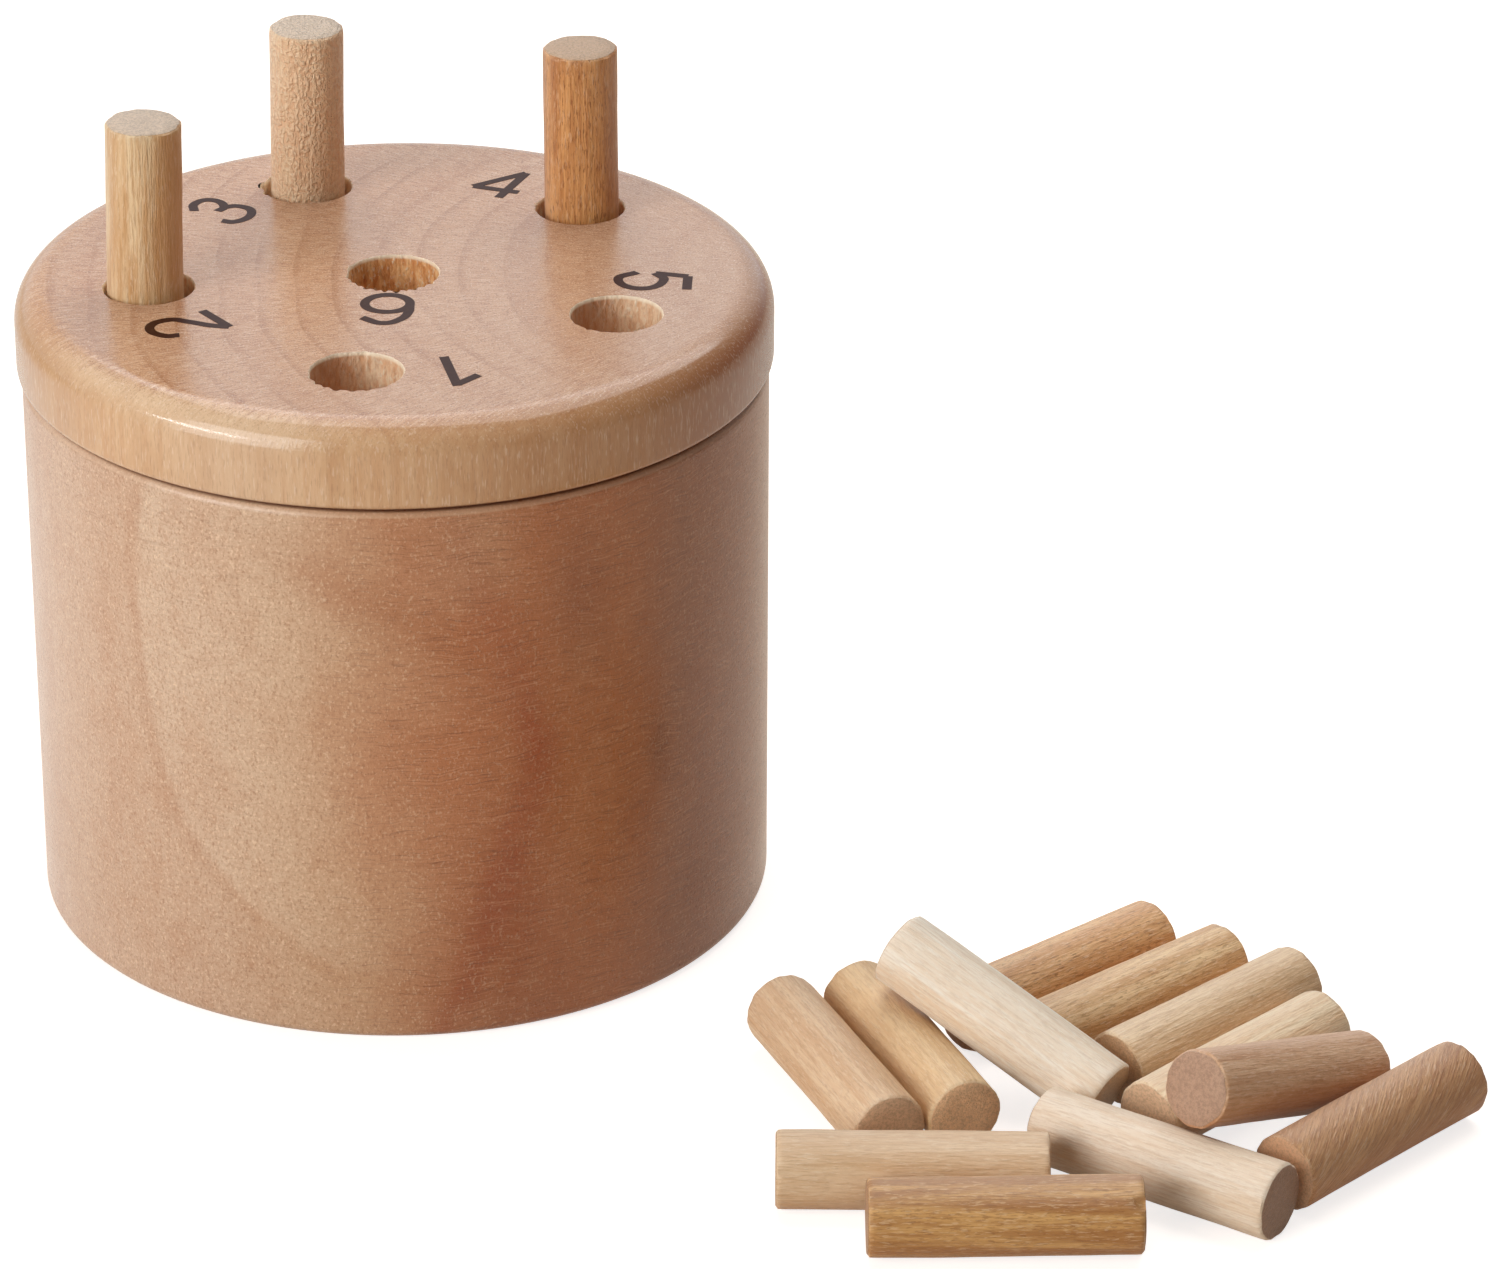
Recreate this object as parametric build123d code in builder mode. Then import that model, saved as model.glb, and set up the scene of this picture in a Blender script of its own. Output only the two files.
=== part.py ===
from build123d import *
import os
from math import asin, cos, degrees, radians, sin, tan

# A turned wooden game cup with a plug lid that has six numbered holes, 24 pegs and a die.
# Three pegs stand in the lid, twelve lie in a heap beside the cup, nine lean inside it round the die.
# Millimetres. The origin is the middle of the cup's base, Z points up, and the cup is seen from -Y.

os.makedirs("parts", exist_ok=True)

# Cup, turned from one block
cup_diameter = 78.0
cup_height = 60.0
cup_wall = 6.5
cup_floor = 8.0
cup_base_rounding = 1.2
cup_rim_rounding = 1.0
cup_mouth_bevel = 0.5

# Lid: a disc that rests on the rim, with a plug below it that centres it in the bore
lid_overhang = 0.5
lid_disc_height = 9.0
lid_top_rounding = 3.6
lid_underside_rounding = 0.8
lid_seam = 0.3
plug_depth = 6.0
plug_clearance = 0.4
plug_end_bevel = 0.6

# Pegs
peg_diameter = 8.0
peg_length = 27.0
peg_end_bevel = 0.3

# Holes in the lid: five blind ones over the plug, on a ring, and a sixth that goes through near
# the middle. They were drilled by eye, so each has its own turn round the lid and its own step
# outwards off the ring.
hole_clearance = 0.7
hole_depth = 9.0
hole_mouth_bevel = 0.3
hole_ring_inset = 6.4
ring_holes = {1: (-95.6, -0.3), 2: (188.8, -0.2), 3: (113.9, 0.4), 4: (44.1, 0.5), 5: (-24.1, -0.2)}
through_hole_x = -0.1
through_hole_y = 0.2

# Pegs that stand in the lid: the hole's number, how far the peg stands to the right of the hole's
# middle at the lid's top, and its lean to the right in degrees
standing_pegs = {2: (-0.35, 1.3), 3: (0.0, 1.0), 4: (0.15, 0.0)}
standing_gap = 0.2

# Pegs inside the cup stand on its floor and lean on its wall: each peg's turn round the cup, and
# its lean outwards in degrees
stored_pegs = {
    1: (14, 22), 2: (54, 26), 3: (93, 19),
    4: (134, 24), 5: (172, 27), 6: (213, 20),
    7: (252, 25), 8: (292, 21), 9: (334, 27),
}
stored_gap = 0.2
floor_gap = 0.1

# Die, on the cup's floor in the middle
die_size = 12.0
die_edge_rounding = 1.5
die_turn = 25.0
pip_radius = 1.0
pip_depth = 0.4
pip_spacing = 3.1

# The heap beside the cup. Its middle lies to the right of the cup's side and in front of the axis.
# Each peg starts at its end that other pegs lie close to: how far that end lies to the right of the
# heap's middle and behind it, in peg radii, and the heading of the peg from there in degrees
heap_to_side = 33.0
heap_to_front = 56.0
flat_pegs = {
    1: (-5.2, -1.95, 113.5),
    2: (-3.3, -1.2, 113.0),
    4: (-3.25, 3.85, 40.0),
    5: (-1.4, 2.55, 40.5),
    6: (0.55, 1.15, 43.0),
    7: (1.25, -1.3, 45.0),
    9: (4.45, -3.9, 45.0),
    10: (-1.35, -1.55, -33.5),
    11: (-1.3, -3.85, 179.5),
    12: (0.9, -5.85, -178.5),
}
# Peg 3 starts on the ground and rises over peg 2. Peg 8 starts on top of peg 10 and comes down to
# the ground.
rising_peg = (0.3, -0.15, 146.0)
rising_slope = 20.5
falling_peg = (2.25, -3.2, 45.0)
falling_drop = 2.03

peg_radius = peg_diameter / 2
cup_radius = cup_diameter / 2
bore_radius = cup_radius - cup_wall
lid_underside = cup_height + lid_seam
lid_top = lid_underside + lid_disc_height
plug_radius = bore_radius - plug_clearance
plug_end = lid_underside - plug_depth
hole_radius = peg_radius + hole_clearance
hole_floor = lid_top - hole_depth
hole_ring_radius = plug_radius - hole_ring_inset


def hole_place(number):
    """The middle of one ring hole in the lid's plane."""
    turn, step = ring_holes[number]
    reach = hole_ring_radius + step
    return reach * cos(radians(turn)), reach * sin(radians(turn))


def peg_along(middle, direction):
    """A peg with its middle at a point and its length along a direction."""
    with BuildPart() as peg:
        with BuildSketch(Plane(origin=middle, z_dir=direction)):
            Circle(peg_radius)
        extrude(amount=peg_length / 2, both=True)
        chamfer(peg.edges().filter_by(GeomType.CIRCLE), length=peg_end_bevel)
    return peg.part


def heap_peg(start, slope):
    """A peg of the heap with its lower end on the ground, and its slope from its start in degrees."""
    side, back, heading = start
    turn = radians(heading)
    tilt = radians(slope)
    reach = peg_length / 2 * cos(tilt)
    middle_x = cup_radius + heap_to_side + side * peg_radius + reach * cos(turn)
    middle_y = back * peg_radius - heap_to_front + reach * sin(turn)
    middle_z = peg_length / 2 * sin(abs(tilt)) + peg_radius * cos(tilt)
    direction = (cos(turn) * cos(tilt), sin(turn) * cos(tilt), sin(tilt))
    return peg_along((middle_x, middle_y, middle_z), direction)


def write_piece(piece, name):
    """Label a finished piece and write it under its name."""
    piece.label = name
    export_step(piece, f"parts/{name}.step")


# Cup
with BuildPart() as cup:
    with BuildSketch():
        Circle(cup_radius)
    extrude(amount=cup_height)
    with BuildSketch(Plane.XY.offset(cup_floor)):
        Circle(bore_radius)
    extrude(amount=cup_height - cup_floor, mode=Mode.SUBTRACT)
    base_edge = cup.edges().group_by(Axis.Z)[0]
    rim_edges = cup.edges().group_by(Axis.Z)[-1].sort_by(SortBy.RADIUS)
    fillet(base_edge, radius=cup_base_rounding)
    fillet(rim_edges[-1], radius=cup_rim_rounding)
    chamfer(cup.edges().group_by(Axis.Z)[-1].sort_by(SortBy.RADIUS)[0], length=cup_mouth_bevel)
write_piece(cup.part, "cup")

# Lid
with BuildPart() as lid:
    with BuildSketch(Plane.XY.offset(lid_underside)):
        Circle(cup_radius + lid_overhang)
    extrude(amount=lid_disc_height)
    fillet(lid.edges().group_by(Axis.Z)[-1], radius=lid_top_rounding)
    fillet(lid.edges().group_by(Axis.Z)[0], radius=lid_underside_rounding)
    with BuildSketch(Plane.XY.offset(lid_underside)):
        Circle(plug_radius)
    extrude(amount=-plug_depth)
    chamfer(lid.edges().group_by(Axis.Z)[0], length=plug_end_bevel)
    with BuildSketch(Plane.XY.offset(lid_top)):
        with Locations([hole_place(number) for number in ring_holes]):
            Circle(hole_radius)
    extrude(amount=-hole_depth, mode=Mode.SUBTRACT)
    with BuildSketch(Plane.XY.offset(lid_top)):
        with Locations((through_hole_x, through_hole_y)):
            Circle(hole_radius)
    extrude(amount=plug_end - lid_top, mode=Mode.SUBTRACT)
    top_face = lid.faces().filter_by(GeomType.PLANE).sort_by(Axis.Z)[-1]
    mouths = [wire.edges() for wire in top_face.inner_wires()]
    chamfer([edge for mouth in mouths for edge in mouth], length=hole_mouth_bevel)
write_piece(lid.part, "lid")

# Pegs that stand in the lid, each on the floor of its hole
for number, (shift, lean) in standing_pegs.items():
    tilt = radians(lean)
    hole_x, hole_y = hole_place(number)
    middle_z = hole_floor + standing_gap + peg_length / 2 * cos(tilt) + peg_radius * sin(tilt)
    middle_x = hole_x + shift + (middle_z - lid_top) * tan(tilt)
    standing = peg_along((middle_x, hole_y, middle_z), (sin(tilt), 0, cos(tilt)))
    write_piece(standing, f"standing_peg_{number}")

# Pegs in the heap that lie flat
for number, start in flat_pegs.items():
    write_piece(heap_peg(start, 0), f"loose_peg_{number}")

# Pegs in the heap that lean on another one
falling_slope = degrees(asin(falling_drop * peg_radius / peg_length))
write_piece(heap_peg(rising_peg, rising_slope), "loose_peg_3")
write_piece(heap_peg(falling_peg, -falling_slope), "loose_peg_8")

# Stored pegs: the lower end's outer edge is on the floor, the upper end's outer edge is on the wall
for number, (around, lean) in stored_pegs.items():
    turn = radians(around)
    tilt = radians(lean)
    middle_reach = bore_radius - stored_gap - peg_radius * cos(tilt) - peg_length / 2 * sin(tilt)
    middle_z = cup_floor + floor_gap + peg_radius * sin(tilt) + peg_length / 2 * cos(tilt)
    middle = (middle_reach * cos(turn), middle_reach * sin(turn), middle_z)
    direction = (sin(tilt) * cos(turn), sin(tilt) * sin(turn), cos(tilt))
    write_piece(peg_along(middle, direction), f"stored_peg_{number}")

# Die
die_half = die_size / 2
die_z = cup_floor + floor_gap + die_half
near = pip_spacing
pips_by_face = {
    1: [(0, 0)],
    2: [(-near, -near), (near, near)],
    3: [(-near, -near), (0, 0), (near, near)],
    4: [(-near, -near), (-near, near), (near, -near), (near, near)],
    5: [(-near, -near), (-near, near), (near, -near), (near, near), (0, 0)],
    6: [(-near, -near), (-near, 0), (-near, near), (near, -near), (near, 0), (near, near)],
}
die_x_way = (cos(radians(die_turn)), sin(radians(die_turn)), 0)
die_y_way = (-sin(radians(die_turn)), cos(radians(die_turn)), 0)
faces_of_die = {
    6: ((0, 0, 1), die_x_way),
    1: ((0, 0, -1), die_x_way),
    5: (die_x_way, (0, 0, 1)),
    2: (tuple(-part for part in die_x_way), (0, 0, 1)),
    4: (die_y_way, (0, 0, 1)),
    3: (tuple(-part for part in die_y_way), (0, 0, 1)),
}
with BuildPart() as die:
    with BuildSketch(Plane(origin=(0, 0, die_z), x_dir=die_x_way, z_dir=(0, 0, 1))):
        Rectangle(die_size, die_size)
    extrude(amount=die_half, both=True)
    fillet(die.edges(), radius=die_edge_rounding)
    for pips, (outward, across) in faces_of_die.items():
        middle = [at + die_half * way for at, way in zip((0, 0, die_z), outward)]
        with BuildSketch(Plane(origin=middle, x_dir=across, z_dir=outward)):
            with Locations(pips_by_face[pips]):
                Circle(pip_radius)
        extrude(amount=-pip_depth, mode=Mode.SUBTRACT)
write_piece(die.part, "die")
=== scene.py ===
import bmesh
import bpy
from collections import namedtuple
from math import atan2, cos, degrees, hypot, pi, radians, sin
from mathutils import Matrix, Vector, noise


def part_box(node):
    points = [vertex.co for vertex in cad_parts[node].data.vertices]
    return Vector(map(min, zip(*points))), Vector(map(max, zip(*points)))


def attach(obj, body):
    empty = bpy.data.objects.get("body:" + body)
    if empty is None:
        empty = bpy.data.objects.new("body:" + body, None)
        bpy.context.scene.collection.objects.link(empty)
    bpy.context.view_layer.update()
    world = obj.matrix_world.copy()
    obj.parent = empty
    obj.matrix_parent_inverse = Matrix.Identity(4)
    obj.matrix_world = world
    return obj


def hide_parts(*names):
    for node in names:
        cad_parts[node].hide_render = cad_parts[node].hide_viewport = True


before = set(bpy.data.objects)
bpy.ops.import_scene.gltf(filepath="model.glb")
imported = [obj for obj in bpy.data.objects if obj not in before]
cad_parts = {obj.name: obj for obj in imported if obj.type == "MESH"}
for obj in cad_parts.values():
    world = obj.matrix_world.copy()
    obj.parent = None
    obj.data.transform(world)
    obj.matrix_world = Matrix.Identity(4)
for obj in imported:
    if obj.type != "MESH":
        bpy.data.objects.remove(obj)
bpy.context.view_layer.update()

# Lengths are in millimetres and angles in degrees, apart from the camera's and the lamps' lengths, which are in
# metres. MM is one millimetre in metres.
MM = 0.001

# The cup and the lid, as turned
CUP_RADIUS = 39.0
CUP_HEIGHT = 60.0
BORE_RADIUS = 32.5
CUP_FLOOR = 8.0
LID_RADIUS = 39.5
LID_UNDERSIDE = 60.3
LID_TOP = 69.3
LID_TOP_ROUNDING = 3.6
PLUG_RADIUS = 32.1
PLUG_END = 54.3

# The circles on the lid's top and on the plug's end inside which the faces are filled in round the holes
TOP_FILL_RADIUS = LID_RADIUS - LID_TOP_ROUNDING - 0.3
END_FILL_RADIUS = PLUG_RADIUS - 1.4

# The lid's holes. Five are blind: the direction of each from +X, and how far it is off their common ring
HOLE_RADIUS = 4.7
HOLE_RING = 25.7
BLIND_FLOOR = 60.3
BLIND_HOLES = {
    1: (-95.6, -0.3), 2: (188.8, -0.2), 3: (113.9, 0.4),
    4: (44.1, 0.5), 5: (-24.1, -0.2),
}
EMPTY_BLIND_HOLES = (1, 5)
THROUGH_HOLE = 6
HOLE_MIDDLES = {
    number: ((HOLE_RING + step) * cos(radians(turn)), (HOLE_RING + step) * sin(radians(turn)))
    for number, (turn, step) in BLIND_HOLES.items()
}
HOLE_MIDDLES[THROUGH_HOLE] = (-0.1, 0.2)

# Torn places on the rims of the holes: the direction of each, its width as an angle, and its depth
RIM_CHIPS = {
    1: [(-160, 9, 0.2), (-142, 6, 0.34), (-128, 5, 0.22), (-112, 7, 0.36), (-92, 6, 0.24), (-74, 5, 0.16),
        (-52, 8, 0.14), (84, 5, 0.2), (120, 10, 0.15)],
    2: [(-140, 10, 0.08)],
    3: [(178, 14, 0.5), (205, 8, 0.26), (150, 9, 0.15)],
    4: [(170, 9, 0.16), (188, 6, 0.1)],
    5: [(-150, 9, 0.12), (-126, 5, 0.2), (-108, 4, 0.12), (-70, 12, 0.08)],
    6: [(-165, 8, 0.2), (-150, 5, 0.32), (-136, 6, 0.2), (-122, 5, 0.46), (-108, 4, 0.26), (-98, 4, 0.4),
        (-84, 5, 0.6), (-72, 3, 0.3), (-62, 5, 0.42), (-48, 4, 0.24), (-34, 6, 0.3), (165, 12, 0.16)],
}

# The way down from a rim: how far outside the bore, how far below the lid's top, and how much of the tear is left
APRON = 1.2
RIM_STEPS = [(0.45, 0.0, 0.0), (0.12, 0.0, 1.0), (0.03, 0.1, 0.95), (0.0, 0.26, 0.75), (0.0, 0.5, 0.4)]
WALL_SHARES = (0.12, 0.2, 0.28, 0.37, 0.46, 0.56, 0.67, 0.78, 0.89, 1.0)

# The pegs, and where along one its rings of vertices lie, from 0 at its foot to 1 at its head
PEG_RADIUS = 4.0
PEG_HALF = 13.5
PEG_EDGE = 0.28
PEG_END_RING = 2.2
PEG_SHARES = (
    0.0, 0.015, 0.04, 0.08, 0.13, 0.2, 0.28, 0.36, 0.44, 0.52,
    0.6, 0.68, 0.76, 0.83, 0.89, 0.94, 0.97, 0.985, 1.0,
)


def smooth(value, low, high):
    """0 below low, 1 above high, and a soft step between them."""
    share = min(max((value - low) / (high - low), 0.0), 1.0)
    return share * share * (3 - 2 * share)


def colour(red, green, blue):
    """A colour as it is seen, from 0 to 255, as the light that a shader works with."""
    return tuple(((part / 255 + 0.055) / 1.055) ** 2.4 for part in (red, green, blue)) + (1.0,)


# Finishes

class Figure:
    """A number that varies over a surface. The usual operators add Math nodes to its finish."""

    def __init__(self, finish, socket):
        self.finish = finish
        self.socket = socket

    def __add__(self, other):
        return self.finish.maths("ADD", self, other)

    __radd__ = __add__

    def __sub__(self, other):
        return self.finish.maths("SUBTRACT", self, other)

    def __rsub__(self, other):
        return self.finish.maths("SUBTRACT", other, self)

    def __mul__(self, other):
        return self.finish.maths("MULTIPLY", self, other)

    __rmul__ = __mul__

    def __truediv__(self, other):
        return self.finish.maths("DIVIDE", self, other)


class Nodes:
    """A node tree that is put together node by node."""

    def __init__(self, tree):
        self.tree = tree
        self.tree.nodes.clear()

    def node(self, kind, settings=None, values=None):
        """A node of a kind, with its settings, and the values or links of its sockets."""
        node = self.tree.nodes.new("ShaderNode" + kind)
        for name, setting in (settings or {}).items():
            setattr(node, name, setting)
        for place, value in (values or {}).items():
            if isinstance(value, Figure):
                value = value.socket
            if isinstance(value, bpy.types.NodeSocket):
                self.tree.links.new(value, node.inputs[place])
            else:
                node.inputs[place].default_value = value
        return node

    def maths(self, operation, *values):
        """The result of one Math node."""
        return Figure(self, self.node("Math", {"operation": operation}, dict(enumerate(values))).outputs[0])

    def length(self, across, along):
        """How long a flat vector is."""
        return self.maths("SQRT", across * across + along * along)

    def step(self, value, low, high):
        """0 where the value is at low, 1 where it is at high, and soft between them."""
        settings = {"interpolation_type": "SMOOTHSTEP"}
        values = {"Value": value, "From Min": low, "From Max": high}
        return Figure(self, self.node("MapRange", settings, values).outputs[0])

    def peak(self, value, middle, width):
        """1 where the value is at the middle, and softly down to 0 at that width to either side."""
        return self.step(self.maths("ABSOLUTE", value - middle), width, 0.0)

    def mix(self, share, first, second):
        """The first colour where the share is 0, and the second where it is 1."""
        return self.node("Mix", {"data_type": "RGBA"}, {0: share, 6: first, 7: second}).outputs[2]

    def layered(self, tone, *layers):
        """A colour with others laid over it in turn, each given as its share and its colour."""
        for share, over in layers:
            tone = self.mix(share, tone, over)
        return tone

    def parts(self, place):
        """The three numbers of a place."""
        split = self.node("SeparateXYZ", None, {0: place})
        return [Figure(self, output) for output in split.outputs]


class Finish(Nodes):
    """A material for a surface of the game."""

    def __init__(self, name):
        self.material = bpy.data.materials.new(name)
        self.material.use_nodes = True
        super().__init__(self.material.node_tree)

    def mapped(self, way, values):
        """Places moved, turned and scaled by one Mapping node."""
        return self.node("Mapping", {"vector_type": way}, values).outputs[0]

    def stretched(self, place, scale, turn=(0, 0, 0), shift=(0, 0, 0)):
        """Places for a pattern, turned and shifted, and then scaled along each axis."""
        turned = self.mapped("POINT", {"Vector": place, "Rotation": turn, "Location": shift})
        return self.mapped("POINT", {"Vector": turned, "Scale": scale})

    def noise(self, place, scale, detail=3.0, rough=0.55, **more):
        """Noise from 0 to 1, with its scale along each axis in waves per millimetre."""
        place = self.stretched(place, scale, **more)
        values = {"Vector": place, "Scale": 1.0, "Detail": detail, "Roughness": rough}
        return Figure(self, self.node("TexNoise", {"noise_dimensions": "3D"}, values).outputs[0])

    def piece_place(self, middle=(0, 0, 0), turn=(0, 0, 0)):
        """Places in millimetres from a piece's middle, along its own axes. The middle is in metres."""
        place = self.node("TexCoord").outputs["Object"]
        values = {"Vector": place, "Location": middle, "Rotation": turn, "Scale": (MM, MM, MM)}
        return self.mapped("TEXTURE", values)

    def surface(self, tone, rough, height, depth, gloss=0.5, bend=1.5, sheen=0.0):
        """The shader itself: colour, roughness, and the height of the fine relief with its depth in millimetres."""
        bump = self.node("Bump", None, {"Height": height, "Strength": 1.0, "Distance": depth * MM})
        values = {
            "Base Color": tone, "Roughness": rough, "Normal": bump.outputs[0],
            "IOR": bend, "Specular IOR Level": gloss, "Sheen Weight": sheen, "Sheen Roughness": 0.4,
        }
        shader = self.node("BsdfPrincipled", None, values)
        self.node("OutputMaterial", None, {"Surface": shader.outputs[0]})
        return self.material


# The colour of painted shade in the seam between the lid and the cup
SEAM_SHADE = colour(104, 52, 26)


def lid_wood():
    """Clear glossy varnish over end grain on top, with faint rings and fine rays, and upright grain on the side."""
    finish = Finish("lid_varnished_wood")
    place = finish.piece_place()
    x, y, z = finish.parts(place)
    from_axis = finish.length(x, y)
    side = finish.step(from_axis, 36.5, 39.0)

    # Rings round the tree's middle, which lies off the lid to the right
    pith_x, pith_y = 48.0, 2.0
    waver = finish.noise(place, (0.045, 0.045, 0.02), 1.0)
    out = finish.length(x - pith_x, y - pith_y) + waver * 3.5
    ring = finish.maths("FRACT", out / 4.3)
    wide_ring = finish.maths("FRACT", out / 15.0 + 0.35)
    line = finish.step(ring, 0.72, 0.95) * finish.step(ring, 1.0, 0.97)
    uneven = finish.noise(place, (0.09, 0.09, 0.05), 2.0, shift=(4, 9, 2))
    strong = finish.step(x, 26.0, 6.0) * finish.step(uneven, 0.34, 0.6)
    cloud = finish.noise(place, (0.09, 0.09, 0.05), 3.0)
    top_tone = finish.layered(
        colour(210, 163, 127),
        (line * (0.11 + strong * 0.36), colour(160, 102, 62)),
        (finish.step(ring, 0.1, 0.9) * 0.16, colour(190, 136, 96)),
        (finish.peak(wide_ring, 0.8, 0.22) * 0.3, colour(186, 128, 88)),
        (finish.step(cloud, 0.42, 0.68) * 0.4, colour(210, 166, 134)),
        (finish.step(x, 4.0, 26.0) * 0.3, colour(188, 150, 122)),
    )

    # The side: painted light makes it paler left of the front, painted shade darkens it towards the right, and it is
    # browner at the left end
    upright = finish.noise(place, (1.3, 1.3, 0.06), 2.0, 0.5, shift=(9, 3, 1))
    patches = finish.noise(place, (0.2, 0.2, 0.12), 3.0, 0.6, shift=(2, 8, 1))
    side_tone = finish.layered(
        colour(224, 184, 142),
        (finish.step(upright, 0.34, 0.68), colour(216, 170, 126)),
        (finish.step(patches, 0.45, 0.7) * 0.5, colour(200, 150, 102)),
        # painted shade, darker towards the right and darkest at the right end
        (finish.step(x, -8.0, 24.0) * 0.6, colour(184, 122, 70)),
        (finish.step(x, 22.0, 38.0) * 0.85, colour(150, 74, 6)),
        (finish.step(x, -24.0, -39.0) * 0.75, colour(184, 130, 70)),
        # painted light, paler left of the front
        (finish.peak(x, -15.0, 13.0) * 0.5, colour(222, 190, 158)),
        (line * 0.12, colour(176, 124, 84)),
    )

    # The rounding between them, browner at the back and to the right, with a painted highlight left of the front
    shoulder = finish.peak(from_axis, 37.0, 2.2) * finish.step(z, 65.5, 66.5)
    shoulder_tone = finish.mix(finish.step(x, -30.0, 20.0), colour(204, 144, 84), colour(186, 130, 82))
    facing = finish.step(y, 0.0, -20.0) * finish.step(x, -36.0, -26.0) * finish.step(x, 30.0, 6.0)
    left_front = finish.step(y, 0.0, -12.0) * finish.step(x, -37.0, -28.0) * finish.step(x, 2.0, -12.0)
    painted_highlight_edge = finish.peak(from_axis, 38.0, 2.0) * finish.step(z, 65.8, 66.8) * left_front

    # Fine grain: rays run out from the tree's middle
    turn = finish.maths("ARCTAN2", y - pith_y, x - pith_x)
    polar = finish.node("CombineXYZ", None, {0: turn * 60.0, 1: out, 2: z}).outputs[0]
    rays = finish.noise(polar, (5.0, 0.6, 0.3), 3.0, 0.6)
    fibres = finish.noise(place, (3.2, 3.2, 0.16), 4.0, 0.6)
    pores = finish.noise(place, (6.0, 6.0, 0.8), 2.0, 0.5)
    sparks = finish.noise(place, (5.0, 5.0, 0.7), 2.0, 0.5, shift=(3, 5, 8))
    # Painted shade on the lid's lower edge, in the seam over the cup
    seam = finish.step(z, 60.75, 60.4) * side
    tone = finish.layered(
        finish.mix(side, top_tone, side_tone),
        (shoulder * (0.4 + patches * 0.6) * (1.0 - facing * 0.75), shoulder_tone),
        # painted highlight on the rounding left of the front
        (painted_highlight_edge * 0.5, colour(236, 208, 172)),
        (finish.step(rays, 0.5, 0.64) * (0.5 - side * 0.44), colour(164, 104, 72)),
        (finish.step(rays, 0.46, 0.36) * (0.34 - side * 0.26), colour(240, 210, 184)),
        (finish.step(fibres, 0.5, 0.7) * (0.22 - side * 0.14), colour(184, 126, 84)),
        (finish.step(pores, 0.55, 0.66) * (0.55 - side * 0.35), colour(142, 88, 58)),
        (finish.step(sparks, 0.57, 0.68) * (0.5 - side * 0.2), colour(246, 222, 196)),
        # painted shade in the seam
        (seam * 0.7, SEAM_SHADE),
    )
    rounding = finish.peak(from_axis, 38.0, 2.4) * finish.step(z, 65.0, 66.5)
    relief = (fibres * 0.3 + rays * 0.8 + pores * 0.5 + sparks * 0.4) * (1.0 - rounding * 0.85)
    return finish.surface(tone, 0.11 + pores * 0.12 * (1.0 - rounding), relief, 0.03)


def hole_wood():
    """Bare torn wood inside the holes: pitted orange-brown walls with pale crumbs, painted shade on the left walls
    of the two empty holes, and a pale torn rim.
    """
    finish = Finish("hole_bare_wood")
    place = finish.piece_place()
    x, y, z = finish.parts(place)
    fibres = finish.noise(place, (1.6, 1.6, 0.4), 4.0, 0.7)
    crumbs = finish.noise(place, (2.6, 2.6, 1.4), 3.0, 0.6, shift=(3, 1, 7))
    pits = finish.noise(place, (1.5, 1.5, 0.7), 3.0, 0.6, shift=(8, 2, 4))
    outer = finish.step(finish.length(x, y), 8.0, 16.0)
    tone = finish.layered(
        finish.mix(outer, colour(214, 144, 84), colour(230, 184, 142)),
        (finish.step(fibres, 0.36, 0.64), finish.mix(outer, colour(250, 204, 146), colour(250, 224, 190))),
        (finish.step(crumbs, 0.55, 0.66) * 0.6, colour(255, 244, 220)),
        (finish.step(pits, 0.5, 0.68) * (0.5 - outer * 0.2), colour(158, 92, 50)),
    )
    # Painted shade on the left wall of each empty blind hole, the side away from the light
    for number in EMPTY_BLIND_HOLES:
        middle_x, middle_y = HOLE_MIDDLES[number]
        off_x = x - middle_x
        inside = finish.step(finish.length(off_x, y - middle_y), 7.0, 6.0)
        tone = finish.mix(inside * finish.step(off_x, 2.0, -3.5) * 0.6, tone, colour(176, 104, 62))
    tone = finish.mix(finish.step(z, LID_TOP - 0.5, LID_TOP - 0.2) * 0.85, tone, colour(255, 236, 208))
    return finish.surface(tone, 0.5, fibres * 0.7 + crumbs * 0.6 - pits * 0.6, 0.3)


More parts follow.
